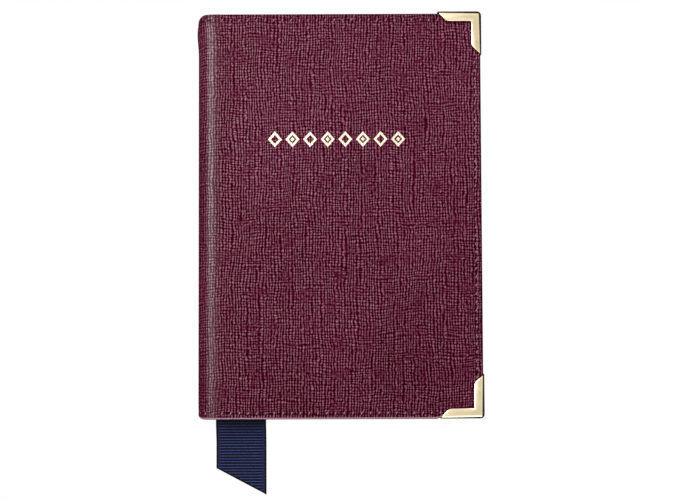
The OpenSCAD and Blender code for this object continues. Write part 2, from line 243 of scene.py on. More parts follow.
def grain(finish, place):
    """Height of the crossgrain from 0 to 1: ridges from head to tail, broken by finer ones across."""
    across, along, _ = finish.axes(place)
    sway = finish.noise(place, (340, 24, 340), 1.0) + finish.noise(place, (260, 110, 260), 1.0, 7.0)
    drift = finish.noise(place, (24, 340, 24), 1.0, 5.0) + finish.noise(place, (150, 280, 150), 1.0, 2.0)
    jitter = finish.noise(place, (800, 600, 800), 1.0, 11.0) * (0.8 * MM)
    bend = finish.noise(place, (45, 30, 45), 1.0, 31.0) * (3.0 * MM)
    ridges = (across + sway * (1.35 * MM) + jitter + bend).wave(GRAIN_RIDGE)
    cross = (along + drift * (1.25 * MM) + jitter - bend).wave(GRAIN_CROSS)
    woven = finish.noise(place, (190, 150, 190), 1.0, 9.0).step(0.34, 0.6) * 0.7 + 0.3
    plain = finish.noise(place, (170, 170, 170), 1.0, 15.0).step(0.5, 0.68) * 0.6
    pores = finish.noise(place, (1300, 1000, 1300), 2.0, 3.0) - 0.5
    lines = (ridges - 0.5) * (1 - plain) * 0.5 + (cross - 0.5) * woven * 0.34
    return lines + (ridges - 0.5) * (cross - 0.5) * 0.35 + pores * 0.9 + 0.5


def leather_finish(name, attribute, tone_and_shade_strength=1.0):
    """Crossgrain leather: darker in the valleys of the print and lighter on its ridges, partly its own colour
    and partly painted shade and painted highlight, with more gloss on the ridges.
    """
    finish = Finish(bpy.data.materials.new(name))
    place = finish.place(attribute)
    height = grain(finish, place)
    tone_and_tail_shade = (finish.noise(place, (30, 20, 30), 2.0, 21.0) - 0.5) * (0.2 * tone_and_shade_strength)
    # painted shade: the leather is steadily darker towards the tail, as the light falls off away from the
    # head; the noise above is the hide's own tone
    tone_and_tail_shade = tone_and_tail_shade + finish.axes(place)[1] * (0.7 * tone_and_shade_strength)
    # The ramp's dark valleys are partly painted shade and its light ridge colours partly painted highlight,
    # over the leather's own burgundy.
    shade = finish.ramp(height + tone_and_tail_shade, [
        (0.14, linear(32, 0, 8)), (0.38, linear(58, 0, 24)), (0.6, linear(86, 30, 50)),
        (0.85, linear(118, 66, 86)), (1.0, linear(142, 94, 112)),
    ])
    # The first channel is painted shade: near black in the seam's crease, in the furrow beside each clamp and
    # under the turned-in edges.
    painted_shade, painted_edge_highlight, _ = finish.axes(finish.place("crease"))
    shade = finish.mix(painted_shade * 0.8, shade, linear(30, 0, 8))
    # The second channel is a painted highlight: a pale pink line along the rounded tail edge.
    shade = finish.mix(painted_edge_highlight, shade, linear(176, 138, 150))
    off_spine = (finish.axes(place)[0] - 0.5 * wrap_length).maths("ABSOLUTE") - curve_length / 2
    burnished = (1 - off_spine.step(-0.3 * MM, 2.6 * MM)) * 0.3
    ridge_gloss_and_edge_highlight = height.step(0.35, 0.85) * (1 - painted_shade)
    return finish.surface(
        base_color=shade, roughness=0.75, specular_ior_level=0.0,
        coat_weight=ridge_gloss_and_edge_highlight * 0.75 + burnished, coat_roughness=0.36,
        normal=finish.bump(height, 0.2 * MM, 0.8),
    )


cover_leather = leather_finish("crossgrain_leather", "flat_cut")


def outside(along):
    """Point and outward normal of the outer face, this far round from the back fore-edge."""
    angle = min(max((along - flat_length) / spine_radius, 0), math.pi)
    normal = Vector((-math.sin(angle), 0, -math.cos(angle)))
    flat = max(flat_length - along, 0) + max(along - flat_length - curve_length, 0)
    point = Vector((curve_x + flat, 0, spine_radius)) + normal * spine_radius
    return point, normal


def curve_place(degrees):
    return flat_length + spine_radius * math.radians(degrees)


def flare(normal, from_head):
    """How far the spine swells out, in mm, a little below the head where the hem ends."""
    return 0.5 * abs(normal.x) ** 1.5 * math.exp(-(((from_head - 5.5) / 4.5) ** 2))


def pull_in(along, head):
    """How far the wrap's ends are drawn in where the spine is widest."""
    angle = min(max((along - flat_length) / spine_radius, 0), math.pi)
    share = max(0, (math.sin(angle) - 0.55) / 0.45)
    return (1.25 if head else 0.7) * MM * share ** 3


HEM_EDGE = 0.75          # where the hem starts to round over, in mm from the edge
SEAM = 2.2               # the seam's distance from the edge, in mm
SEAM_SHADE = 0.8          # half the width of the painted shade line along the seam's crease, in mm
PRESS = [                # (mm from the edge, mm below the face)
    (0.75, 0.20), (1.0, 0.11), (1.35, 0.07), (1.7, 0.10), (1.95, 0.22), (2.1, 0.31), (2.2, 0.34),
    (2.3, 0.31), (2.5, 0.22), (2.8, 0.12), (3.2, 0.07), (3.9, 0.04), (5.5, 0.015), (8.0, 0.0),
]


def pressed(distance):
    """Depth of the hem, crease and shoulder at a distance from the edge, both in mm."""
    for (near, near_depth), (far, far_depth) in zip(PRESS, PRESS[1:]):
        if distance <= far:
            share = min(max((distance - near) / (far - near), 0), 1)
            return near_depth + (far_depth - near_depth) * share
    return 0.0


EDGE_STATIONS = [d for d, _ in PRESS[:11]] + [      # grid lines, close together where a clamp presses
    3.55, 3.75, 3.95, 4.3, 4.9, 5.5, 6.5, 7.5, 8.5, 9.5, 10.5,
    11.2, 11.9, 12.6, 13.3, 14.0, 14.7, 15.4, 16.2, 17.5,
]
FURROW = {"width": 3.2, "leg": 15.0, "slant": 3.4, "depth": 0.26, "fade": 0.5, "past": 0.6}


def under_clamp(from_fore, from_end):
    """Depth, in mm, of the furrow that a clamp's edge presses into the leather."""
    near, far = min(from_fore, from_end), max(from_fore, from_end)
    slant = max(0.0, far - (FURROW["leg"] - FURROW["slant"]))
    gap = max(0.0, near - (FURROW["width"] - slant))
    if far > FURROW["leg"] + FURROW["past"]:
        return 0.0
    return FURROW["depth"] * math.exp(-((gap / FURROW["fade"]) ** 2))


def stations(low, high, near_low, near_high, pitch):
    """Grid lines from low to high, in mm, packed closely towards the edges that are named."""
    lines = [low + d for d in near_low] + [high - d for d in near_high]
    first = low + (near_low[-1] if near_low else 0)
    last = high - (near_high[-1] if near_high else 0)
    count = max(1, round((last - first) / pitch))
    lines += [first + (last - first) * i / count for i in range(count + 1)]
    return sorted({round(line, 4) for line in lines})


def lay_grid(mesh, columns, rows):
    """Adds a grid with a vertex for each column and row, and returns the vertices' indices."""
    bmesh.ops.create_grid(mesh, x_segments=len(columns) - 1, y_segments=len(rows) - 1, size=0.5)
    places = {}
    for vertex in mesh.verts:
        places[vertex] = (
            round((vertex.co.x + 0.5) * (len(columns) - 1)),
            round((vertex.co.y + 0.5) * (len(rows) - 1)),
        )
    return places


def finish_mesh(name, mesh, material, wall=None, smooth=True, keep_normals=None, soften=None):
    """Makes an object of a bmesh, gives it a wall and softened edges if they are named, and shades it."""
    data = bpy.data.meshes.new(name)
    mesh.to_mesh(data)
    mesh.free()
    piece = bpy.data.objects.new(name, data)
    bpy.context.scene.collection.objects.link(piece)
    if wall:
        shell = piece.modifiers.new("wall", "SOLIDIFY")
        shell.thickness, shell.offset, shell.use_even_offset = wall, -1, False
        if soften:
            bevel = piece.modifiers.new("softened_edges", "BEVEL")
            bevel.width, bevel.segments, bevel.limit_method, bevel.angle_limit = soften, 2, "ANGLE", 0.9
        depsgraph = bpy.context.evaluated_depsgraph_get()
        thick = bpy.data.meshes.new_from_object(
            piece.evaluated_get(depsgraph), preserve_all_data_layers=True, depsgraph=depsgraph
        )
        piece.modifiers.clear()
        piece.data = thick
        thick.name = name
    piece.data.materials.clear()
    piece.data.materials.append(material)
    for face in piece.data.polygons:
        face.use_smooth = smooth
    if keep_normals:
        normals = [v.normal.copy() for v in piece.data.vertices]
        normals[: len(keep_normals)] = keep_normals
        piece.data.normals_split_custom_set_from_vertices(normals)
    return piece


COVER_DEPTH, HINGE_DEPTH = 1.9, 1.3      # depth of the turned-in leather, in mm
HEM_DROP = 0.2                           # how far the face has dropped where the hem rounds over
turned_edge = [                          # (mm in from the edge, mm below the face)
    (HEM_EDGE * (1 - math.sin(t)), HEM_DROP + HEM_EDGE * (1 - math.cos(t)))
    for t in map(math.radians, (22, 44, 62, 77, 90))
]
turned_edge += [(0.0, 1.2)]
turned_edge += [(0.5 * (1 - math.cos(t)), 1.2 + 0.7 * math.sin(t)) for t in map(math.radians, (30, 60, 90))]
turned_edge += [(inward, COVER_DEPTH) for inward in (1.6, 4.0, 8.0)]


def turn_in_depth(along):
    """The leather is turned in over the board, and less deeply over the hinge and the spine."""
    off_board = min(abs(along - flat_length), abs(along - flat_length - curve_length))
    inside_curve = flat_length <= along <= flat_length + curve_length
    share = 1.0 if inside_curve else 1 - min(max((off_board - 1.2 * MM) / (1.2 * MM), 0), 1)
    return (COVER_DEPTH + (HINGE_DEPTH - COVER_DEPTH) * share) / COVER_DEPTH


def turn_edges(mesh, rim, out, inner, cut, across=1, crease=None):
    """Extrudes the edges of a sheet round and under, as leather is turned in."""
    rim_set, before = set(rim), (HEM_EDGE, HEM_DROP)
    edges = [e for e in mesh.edges if e.is_boundary and rim_set.issuperset(e.verts)]
    for place in turned_edge:
        made = bmesh.ops.extrude_edge_only(mesh, edges=edges)["geom"]
        edges = [e for e in made if isinstance(e, bmesh.types.BMEdge) and e.is_boundary]
        step_out, step_in = before[0] - place[0], place[1] - before[1]
        travelled = math.hypot(step_out, step_in) * MM
        for vertex in {v for e in edges for v in e.verts}:
            vertex.co += (vertex[out] * step_out + vertex[inner] * step_in) * MM
            vertex[cut] = vertex[cut] + Vector((vertex[out].x * across, vertex[out].y, 0)) * travelled
            if crease:
                # painted highlight on the rounding of the tail edge, and painted shade on the turned-in
                # underside of every edge
                ridge_gloss_and_edge_highlight = vertex[out].y < 0 and 0.1 < place[0] < 0.6
                vertex[crease] = (0 if place[0] > 0.1 else 0.8, 0.7 if ridge_gloss_and_edge_highlight else 0, 0)
        before = place


def leather_length(name, first, last, nodes):
    """One length of the wrap, between two distances round from the back fore-edge."""
    overlap = 0.6 * MM
    at_back, at_front = first <= 0, last >= wrap_length
    low = HEM_EDGE if at_back else (first - overlap) / MM
    high = wrap_length / MM - HEM_EDGE if at_front else (last + overlap) / MM
    close = [d - HEM_EDGE for d in EDGE_STATIONS]
    columns = []
    if at_back:
        columns = stations(low, flat_length / MM - 3, close, [], 4.0)
        columns += stations(flat_length / MM - 2.4, high, [], [overlap / MM], 0.6)
    elif at_front:
        columns = stations(low, (flat_length + curve_length) / MM + 2.4, [overlap / MM], [], 0.6)
        columns += stations((flat_length + curve_length) / MM + 3, high, [], close, 4.0)
    else:
        columns = stations(low, high, [overlap / MM], [overlap / MM], 0.5)
    rows = stations(HEM_EDGE, 2 * half_height / MM - HEM_EDGE, close, close, 3.0)

    mesh = bmesh.new()
    cut = mesh.verts.layers.float_vector.new("flat_cut")
    out = mesh.verts.layers.float_vector.new("out")
    inner = mesh.verts.layers.float_vector.new("inner")
    crease = mesh.verts.layers.float_vector.new("crease")
    rim = []
    for vertex, (i, j) in lay_grid(mesh, columns, rows).items():
        along, from_tail = columns[i] * MM, rows[j]
        from_head = 2 * half_height / MM - from_tail
        point, normal = outside(along)
        from_fore = min(along, wrap_length - along) / MM
        from_end = min(from_tail, from_head)
        furrow = under_clamp(from_fore, from_end)
        seam_share = 1 - 0.7 * abs(normal.x)
        depth = max(pressed(from_fore), pressed(from_end) * seam_share, furrow)
        drawn = pull_in(along, from_head < from_tail)
        middle = from_tail * MM - half_height
        fade = min(1.0, max(0.0, 1 - from_end / 30))
        if from_tail < from_head:
            under = min(1, max(0, FURROW["leg"] + 1.0 - from_fore))
            drawn = max(drawn, 0.5 * MM * under)
        point += Vector((0, middle - math.copysign(drawn * fade, middle), 0))
        vertex.co = point + normal * (flare(normal, from_head) - depth) * MM
        vertex[cut] = (along, middle, 0)
        # painted shade along the seam's crease and in the furrow that each clamp presses
        off_seam = min(abs(from_end - SEAM + 0.15), abs(from_fore - SEAM))
        in_seam = max(0, 1 - off_seam / SEAM_SHADE) * 0.6
        vertex[crease] = (min(1, max(in_seam, furrow / FURROW["depth"])), 0, 0)
        vertex[inner] = -normal * turn_in_depth(along)
        outward = Vector()
        if j in (0, len(rows) - 1):
            outward.y = 1 if j else -1
        if (at_back and i == 0) or (at_front and i == len(columns) - 1):
            outward.x = 1
        vertex[out] = outward
        if outward.length:
            rim.append(vertex)

    bmesh.ops.recalc_face_normals(mesh, faces=mesh.faces)
    turn_edges(mesh, rim, out, inner, cut, 1 if at_front else -1, crease)
    mesh.normal_update()
    if sum((f.normal.dot(-f.verts[0][inner]) for f in list(mesh.faces)[:200])) < 0:
        bmesh.ops.reverse_faces(mesh, faces=mesh.faces)
        mesh.normal_update()
    beyond = [v for v in mesh.verts if not first - 1e-6 <= v[cut].x <= last + 1e-6
              and not (at_back and v[cut].x < last) and not (at_front and v[cut].x > first)]
    bmesh.ops.delete(mesh, geom=beyond, context="VERTS")
    normals = [v.normal.copy() for v in mesh.verts]
    piece = finish_mesh(name, mesh, cover_leather, 0.4 * MM, keep_normals=normals)
    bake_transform(piece)
    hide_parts(*nodes)
    return piece


FOLDS = [      # bodies on either side of each fold, and the stretch of the curve that bends
    ("back_cover", "spine_back_strip", 0, 45), ("spine_back_strip", "spine_middle_strip", 45, 90),
    ("spine_middle_strip", "spine_front_strip", 90, 135), ("spine_front_strip", "front_cover", 135, 180),
]


def fold_ends(from_angle, to_angle):
    return outside(curve_place(from_angle))[0], outside(curve_place(to_angle))[0]


leather_nodes = [["back_cover_leather", "spine_back_leather"], ["spine_middle_leather"],
                 ["spine_front_leather"], ["front_cover_leather"]]
leather_names = ["leather_back", "leather_spine_back", "leather_spine_front", "leather_front"]
for index, (name, nodes) in enumerate(zip(leather_names, leather_nodes)):
    body_a, body_b, from_angle, to_angle = FOLDS[index]
    start, end = fold_ends(from_angle, to_angle)
    leather_length(
        name,
        0 if index == 0 else curve_place(from_angle),
        wrap_length if index == 3 else curve_place(to_angle),
        nodes,
    )


# ---- Reinforcement and lining ----
# A flexible layer of bonded paper stiffens the leather between the boards, under the lining.
# The lining is a fine navy twill, pasted over the boards and the turned-in leather.

# for each layer: how deep its inner face lies over the covers and over the hinge, and its wall, in mm
LAYERS = {"lining": (2.2, 1.6, 0.3), "reinforcement": (1.3, 1.3, 0.5)}
STEP_START, STEP_RUN = 1.3, 0.6      # where the lining climbs from the hinge on to the board, in mm
HINGE_REACH = 5.4 * MM               # how far the reinforcement reaches under each cover


def lining_finish():
    finish = Finish(bpy.data.materials.new("navy_twill"))
    place = finish.place("flat_cut")
    across, along, _ = finish.axes(place)
    twill = (across + along).wave(0.55 * MM)
    threads = across.wave(0.28 * MM) * 0.5 + twill
    slub = finish.noise(place, (400, 3200, 400), 1.0)
    colour = finish.ramp(threads * 0.55 + slub * 0.25, [
        (0.1, linear(14, 17, 36)), (0.5, linear(28, 33, 62)), (0.95, linear(50, 56, 92)),
    ])
    return finish.surface(
        base_color=colour, roughness=0.78, specular_ior_level=0.3, sheen_weight=0.25, sheen_roughness=0.4,
        normal=finish.bump(threads, 0.06 * MM, 0.8),
    )


def reinforcement_finish():
    finish = Finish(bpy.data.materials.new("bonded_paper"))
    place = finish.place("flat_cut")
    fibre = finish.noise(place, (900, 2400, 900), 4.0)
    colour = finish.ramp(fibre, [(0.3, linear(58, 44, 42)), (0.7, linear(92, 74, 68))])
    return finish.surface(base_color=colour, roughness=0.85, normal=finish.bump(fibre, 0.05 * MM, 0.6))


def inner_layer(name, kind, material, index, nodes):
    """One length of a layer inside the wrap, cut and bent as the leather is."""
    over_cover, over_hinge, wall = LAYERS[kind]
    margin = 1.2 if kind == "lining" else 1.4
    edge = margin * MM if kind == "lining" else flat_length - HINGE_REACH
    body_a, body_b, from_angle, to_angle = FOLDS[index]
    first = edge if index == 0 else curve_place(from_angle)
    last = wrap_length - edge if index == 3 else curve_place(to_angle)
    overlap = 0.6 * MM
    low = first / MM if index == 0 else (first - overlap) / MM
    high = last / MM if index == 3 else (last + overlap) / MM
    if index == 0:
        bend = flat_length / MM
        columns = stations(low, bend - 3, [], [], 6.0) if kind == "lining" else []
        near = bend - 2.9 if kind == "lining" else low
        columns += stations(near, high, [], [overlap / MM], 0.3)
    elif index == 3:
        bend = (flat_length + curve_length) / MM
        near = bend + 2.9 if kind == "lining" else high
        columns = stations(low, near, [overlap / MM], [], 0.3)
        columns += stations(bend + 3, high, [], [], 6.0) if kind == "lining" else []
    else:
        columns = stations(low, high, [overlap / MM], [overlap / MM], 0.5)
    half = half_height / MM - margin
    rows = stations(-half, half, [], [], 5.0)
    mesh = bmesh.new()
    cut = mesh.verts.layers.float_vector.new("flat_cut")
    for vertex, (i, j) in lay_grid(mesh, columns, rows).items():
        along = columns[i] * MM
        point, normal = outside(along)
        off_curve = max(flat_length - along, along - flat_length - curve_length, 0) / MM
        share = min(max((off_curve - STEP_START) / STEP_RUN, 0), 1)
        height = over_hinge + (over_cover - over_hinge) * share * share * (3 - 2 * share)
        vertex.co = point - normal * height * MM + Vector((0, rows[j] * MM, 0))
        vertex[cut] = (along, rows[j] * MM, 0)
    mesh.normal_update()
    some = next(iter(mesh.faces))
    if some.normal.dot(outside(some.verts[0][cut].x)[1]) > 0:
        bmesh.ops.reverse_faces(mesh, faces=mesh.faces)
        mesh.normal_update()
    beyond = [v for v in mesh.verts if not first - 1e-6 <= v[cut].x <= last + 1e-6]
    bmesh.ops.delete(mesh, geom=beyond, context="VERTS")
    normals = [v.normal.copy() for v in mesh.verts]
    flat = (max(v[cut].x for v in mesh.verts) - min(v[cut].x for v in mesh.verts), 2 * half * MM)
    piece = finish_mesh(name, mesh, material, wall * MM, keep_normals=normals)
    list(fold_ends(from_angle, to_angle))
    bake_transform(piece)
    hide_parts(*nodes)
    return piece, flat


lining_nodes = [["back_lining", "spine_back_lining"], ["spine_middle_lining"],
                ["spine_front_lining"], ["front_lining"]]
reinforcement_nodes = [["back_hinge_reinforcement", "spine_back_reinforcement"],
                       ["spine_middle_reinforcement"], ["spine_front_reinforcement"],
                       ["front_hinge_reinforcement"]]
lining_names = ["lining_back", "lining_spine_back", "lining_spine_front", "lining_front"]
reinforcement_names = ["reinforcement_back", "reinforcement_spine_back",
                       "reinforcement_spine_front", "reinforcement_front"]
twill, bonded_paper = lining_finish(), reinforcement_finish()
for index in range(4):
    cloth, (cloth_wide, cloth_high) = inner_layer(
        lining_names[index], "lining", twill, index, lining_nodes[index])
    # a sheet's side is given as 10 mm or more, and the two narrow lengths are half of that
    cloth_wide * cloth_high
    paper, _ = inner_layer(reinforcement_names[index], "reinforcement", bonded_paper, index,
                           reinforcement_nodes[index])


# ---- Boards and packing card ----
# Each cover is stiffened by a millboard between the leather and its turned-in edges.
# A thinner card fills the hollow between those edges, so that the lining lies flat.

def card_finish(name, dark, light):
    finish = Finish(bpy.data.materials.new(name))
    place = finish.place()
    fibre = finish.noise(place, (350, 1300, 5000), 4.0)
    fleck = finish.noise(place, (2600, 2600, 2600), 1.0, 4.0).step(0.66, 0.74)
    colour = finish.mix(fleck * 0.5, finish.ramp(fibre, [(0.3, dark), (0.7, light)]), linear(70, 62, 52))
    return finish.surface(base_color=colour, roughness=0.9, normal=finish.bump(fibre, 0.04 * MM, 0.5))


millboard = card_finish("millboard", linear(120, 108, 92), linear(150, 138, 120))
packing_card = card_finish("packing_card", linear(196, 190, 176), linear(220, 215, 203))
for side in ("back", "front"):
    for material, node in ((millboard, side + "_board"), (packing_card, side + "_infill")):
        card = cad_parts[node]
        card.data.materials.clear()
        card.data.materials.append(material)


# ---- Pocket sleeves ----
# A leather pocket is sewn inside each cover on three sides, and holds the passport's cover.
# Its edges are turned under, which leaves it a little raised round the opening's middle.

SLEEVE_EDGE = {"sewn": 1.4, "mouth": 0.6}      # how far each turned edge drops, in mm
plain_leather = leather_finish("sleeve_leather", "flat_cut", tone_and_shade_strength=0.5)


def pocket_sleeve(name, side, body):
    fore, hems = side + "_sleeve_fore_hem", [side + "_sleeve_head_hem", side + "_sleeve_tail_hem"]
    low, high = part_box(side + "_sleeve")
    facing = 1 if side == "back" else -1
    top = (high.z if facing > 0 else low.z)
    close = [d - HEM_EDGE for d in EDGE_STATIONS[:16]]
    mouth = [0, 0.3, 0.8, 1.6, 2.6]
    columns = stations(low.x / MM + HEM_EDGE, high.x / MM - HEM_EDGE, mouth, close, 4.0)
    rows = stations(low.y / MM + HEM_EDGE, high.y / MM - HEM_EDGE, close, close, 4.0)
    mesh = bmesh.new()
    cut, out, inner = (mesh.verts.layers.float_vector.new(n) for n in ("flat_cut", "out", "inner"))
    rim = []
    for vertex, (i, j) in lay_grid(mesh, columns, rows).items():
        x, y = columns[i], rows[j]
        from_end = min(y - low.y / MM, high.y / MM - y)
        depth = max(pressed(high.x / MM - x), pressed(from_end))
        if x - low.x / MM < 1.4:
            depth = max(depth, 0.2 - 0.14 * (x - low.x / MM - HEM_EDGE))
        vertex.co = (x * MM, y * MM, top - facing * depth * MM)
        vertex[cut] = (x * MM + 0.3, y * MM, 0)
        sewn = i == len(columns) - 1 or j in (0, len(rows) - 1)
        outward = Vector((0 if i else -1, 0, 0))
        if i == len(columns) - 1:
            outward.x = 1
        if j in (0, len(rows) - 1):
            outward.y = 1 if j else -1
        vertex[out] = outward
        drop = SLEEVE_EDGE["sewn"] if sewn else SLEEVE_EDGE["mouth"]
        vertex[inner] = Vector((0, 0, -facing * drop / COVER_DEPTH))
        if outward.length:
            rim.append(vertex)
    turn_edges(mesh, rim, out, inner, cut)
    mesh.normal_update()
    centre = min(mesh.faces, key=lambda f: (f.calc_center_median() - Vector((18 * MM, 0, top))).length)
    if centre.normal.z * facing < 0:
        bmesh.ops.reverse_faces(mesh, faces=mesh.faces)
    sleeve = finish_mesh(name, mesh, plain_leather, 0.3 * MM)
    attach(sleeve, body)
    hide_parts(side + "_sleeve", fore, *hems)


pocket_sleeve("pocket_back", "back", "back_cover")
pocket_sleeve("pocket_front", "front", "front_cover")


# ---- Corner clamps ----
# A brass sheet is folded over each fore-edge corner and polished. It is L-shaped on each face,
# its ends are cut on a slant, and its inner rim is turned down so that it grips the leather.

CLAMP = {"leg": 15.6, "width": 3.6, "wall": 0.4, "slope": math.radians(50), "end_round": 2.6,
         "corner_round": 1.45, "fold_round": 1.3, "rim": 0.4, "rim_drop": 0.12}


def brass_finish():
    finish = Finish(bpy.data.materials.new("polished_pale_brass"))
    place = finish.place()
    brushed = finish.noise(place, (600, 9000, 600), 2.0)
    smears = finish.noise(place, (180, 240, 180), 2.0, 7.0)
    colour = finish.ramp(smears, [(0.3, linear(240, 222, 184)), (0.7, linear(249, 233, 198))])
    return finish.surface(
        base_color=colour, metallic=1.0, roughness=0.2 + smears * 0.08,
        normal=finish.bump(brushed, 0.01 * MM, 0.15),
    )


brass = brass_finish()


def corner_clamp(name, node, body):
    low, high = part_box(node)
    leg, width = CLAMP["leg"], CLAMP["width"]
    run = width / math.tan(CLAMP["slope"])
    mesh = bmesh.new()
    outline = [(0, 0), (-leg, 0), (run - leg, -width), (-width, -width), (-width, run - leg), (0, -leg)]
    corners = [mesh.verts.new((x, y, 0)) for x, y in outline]
    mesh.faces.new(corners)
    tangent = CLAMP["end_round"] * math.tan(CLAMP["slope"] / 2)
    roundings = ([corners[0]], CLAMP["corner_round"], 5), ([corners[2], corners[4]], tangent, 8)
    for rounded, offset, segments in roundings:
        bmesh.ops.bevel(mesh, geom=rounded, affect="VERTICES", offset=offset, segments=segments,
                        profile=0.5, material=-1)
    plate = mesh.faces[:]
    depth = (high.z - low.z) / MM
    copy = bmesh.ops.duplicate(mesh, geom=mesh.verts[:] + mesh.edges[:] + plate)["geom"]
    below = [g for g in copy if isinstance(g, bmesh.types.BMVert)]
    bmesh.ops.translate(mesh, verts=below, vec=(0, 0, -depth))
    bmesh.ops.reverse_faces(mesh, faces=[g for g in copy if isinstance(g, bmesh.types.BMFace)])
    rounding = -0.3 * CLAMP["corner_round"]
    folded = [e for e in mesh.edges if all(max(v.co.x, v.co.y) > rounding for v in e.verts)]
    bmesh.ops.bridge_loops(mesh, edges=folded)
    bmesh.ops.recalc_face_normals(mesh, faces=mesh.faces)
    mesh.normal_update()
    if max(mesh.faces, key=lambda f: f.calc_center_median().z).normal.z < 0:
        bmesh.ops.reverse_faces(mesh, faces=mesh.faces)
    folds = [e for e in mesh.edges if len(e.link_faces) == 2 and abs(e.verts[0].co.z - e.verts[1].co.z) < 1e-6
             and all(max(v.co.x, v.co.y) > rounding for v in e.verts)]
    bmesh.ops.bevel(mesh, geom=folds, affect="EDGES", offset=CLAMP["fold_round"], segments=5,
                    profile=0.5, material=-1)
    bmesh.ops.inset_region(mesh, faces=mesh.faces, thickness=CLAMP["rim"], use_boundary=True,
                           use_even_offset=True)
    mesh.normal_update()
    for vertex in [v for v in mesh.verts if v.is_boundary]:
        vertex.co -= vertex.normal * CLAMP["rim_drop"]
    corner = Vector((high.x, high.y if high.y > 0 else low.y, high.z if body == "front_cover" else low.z))
    flips = (1, 1 if high.y > 0 else -1, 1 if body == "front_cover" else -1)
    bmesh.ops.scale(mesh, verts=mesh.verts, vec=[f * MM for f in flips])
    if flips[1] * flips[2] < 0:
        bmesh.ops.reverse_faces(mesh, faces=mesh.faces)
    bmesh.ops.translate(mesh, verts=mesh.verts, vec=corner)
    clamp = finish_mesh(name, mesh, brass, CLAMP["wall"] * MM, soften=0.1 * MM)
    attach(clamp, body)
    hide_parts(node)


for side in ("back", "front"):
    for end in ("head", "tail"):
        corner_clamp(f"clamp_{side}_{end}", f"{side}_{end}_clamp", side + "_cover")


# ---- Stitching ----
# A waxed pink-brown thread is saddle-stitched through slanted holes, in the crease behind the
# hem. The same seam shows inside, on the lining and round three sides of the pockets.

THREAD = {"girth": 0.4, "long": 1.2, "slant": math.radians(62), "pitch": 3.05}


def thread_finish(name, dark, light):
    finish = Finish(bpy.data.materials.new(name))
    place = finish.place()
    strands = finish.noise(place, (5200, 5200, 5200), 2.0)
    colour = finish.ramp(strands, [(0.35, dark), (0.65, light)])
    return finish.surface(base_color=colour, roughness=0.5, normal=finish.bump(strands, 0.04 * MM, 0.6))


waxed_thread = thread_finish("waxed_thread", linear(120, 56, 80), linear(190, 122, 146))


def sew(mesh, centre, direction, up, length=None):
    """One stitch, a short stretch of thread whose ends go down into the leather."""
    side = up.cross(direction)
    basis = Matrix((side, up, direction)).transposed().to_4x4()
    size = Matrix.Diagonal((THREAD["girth"], THREAD["girth"] * 0.9, length or THREAD["long"], 1 / MM)) * MM
    bmesh.ops.create_uvsphere(mesh, u_segments=8, v_segments=6, radius=0.5,
                              matrix=Matrix.Translation(centre) @ basis @ size)


def slanted(direction, up, angle):
    return Matrix.Rotation(angle, 3, up) @ direction


seam_y = half_height - SEAM * MM
seam_x = half_width - SEAM * MM
row_end = half_width - 4.4 * MM
row_top = half_height - 4.4 * MM
thread_nodes = [["back_stitching", "spine_back_stitching"], ["spine_middle_stitching"],
                ["spine_front_stitching"], ["front_stitching"]]
thread_names = ["thread_back", "thread_spine_back", "thread_spine_front", "thread_front"]
sunk = 0.19 * MM
seam_first, seam_last = (half_width - row_end), wrap_length - (half_width - row_end)
count = round((seam_last - seam_first) / (THREAD["pitch"] * MM))
along_seam = [seam_first + (seam_last - seam_first) * (k + 0.5) / count for k in range(count)]
count = round(2 * row_top / (2.9 * MM))
up_seam = [-row_top + 2 * row_top * (k + 0.5) / count for k in range(count)]

for index, (name, nodes) in enumerate(zip(thread_names, thread_nodes)):
    body_a, body_b, from_angle, to_angle = FOLDS[index]
    first = 0 if index == 0 else curve_place(from_angle)
    last = wrap_length if index == 3 else curve_place(to_angle)
    mesh = bmesh.new()
    for place in along_seam:
        if not first <= place < last:
            continue
        point, up = outside(place)
        tangent = up.cross(Vector((0, 1, 0))).normalized()
        for y in (-seam_y, seam_y):
            slant = slanted(tangent, up, THREAD["slant"])
            seat = point - up * sunk + Vector((0, y, 0))
            sew(mesh, seat, slant, up)
            off = max(flat_length - place, place - flat_length - curve_length, 0)
            at_pocket = off > (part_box("back_sleeve")[0].x - curve_x)
            depth = 1.6 if off < 1.6 * MM else (3.5 if at_pocket else 2.2)
            stretch = min(1.0, 1 - depth * MM / spine_radius) if off == 0 else 1
            sew(mesh, point - up * (depth - 0.02) * MM + Vector((0, y, 0)), slanted(tangent, up, 0.15), up,
                THREAD["long"] * stretch)
    if index in (0, 3):
        up = Vector((0, 0, -1 if index == 0 else 1))
        level = 0 if index == 0 else thickness
        for y in up_seam:
            for depth, turn in ((0.19, math.radians(-24)), (3.5, math.radians(-8))):
                slant = slanted(Vector((0, 1, 0)), up, turn)
                sew(mesh, Vector((seam_x, y, level)) - up * depth * MM, slant, up)
    threads = finish_mesh(name, mesh, waxed_thread)
    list(fold_ends(from_angle, to_angle))
    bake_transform(threads)
    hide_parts(*nodes)


# ---- Foil marks ----
# A row of lozenge outlines is stamped on the front cover in pale gold foil.
# The foil takes the leather's grain, and is broken where the valleys are deep.

def foil_finish():
    finish = Finish(bpy.data.materials.new("pale_gold_foil"))
    place = finish.place("flat_cut")
    height = grain(finish, place)
    worn = finish.noise(place, (2400, 2400, 2400), 2.0, 2.0) * 0.5 + height * 0.6
    kept = worn.step(0.2, 0.36)
    colour = finish.mix(kept, linear(84, 32, 48), linear(253, 240, 216))
    return finish.surface(
        base_color=colour, metallic=kept, roughness=0.3, normal=finish.bump(height, 0.1 * MM, 0.35),
    )


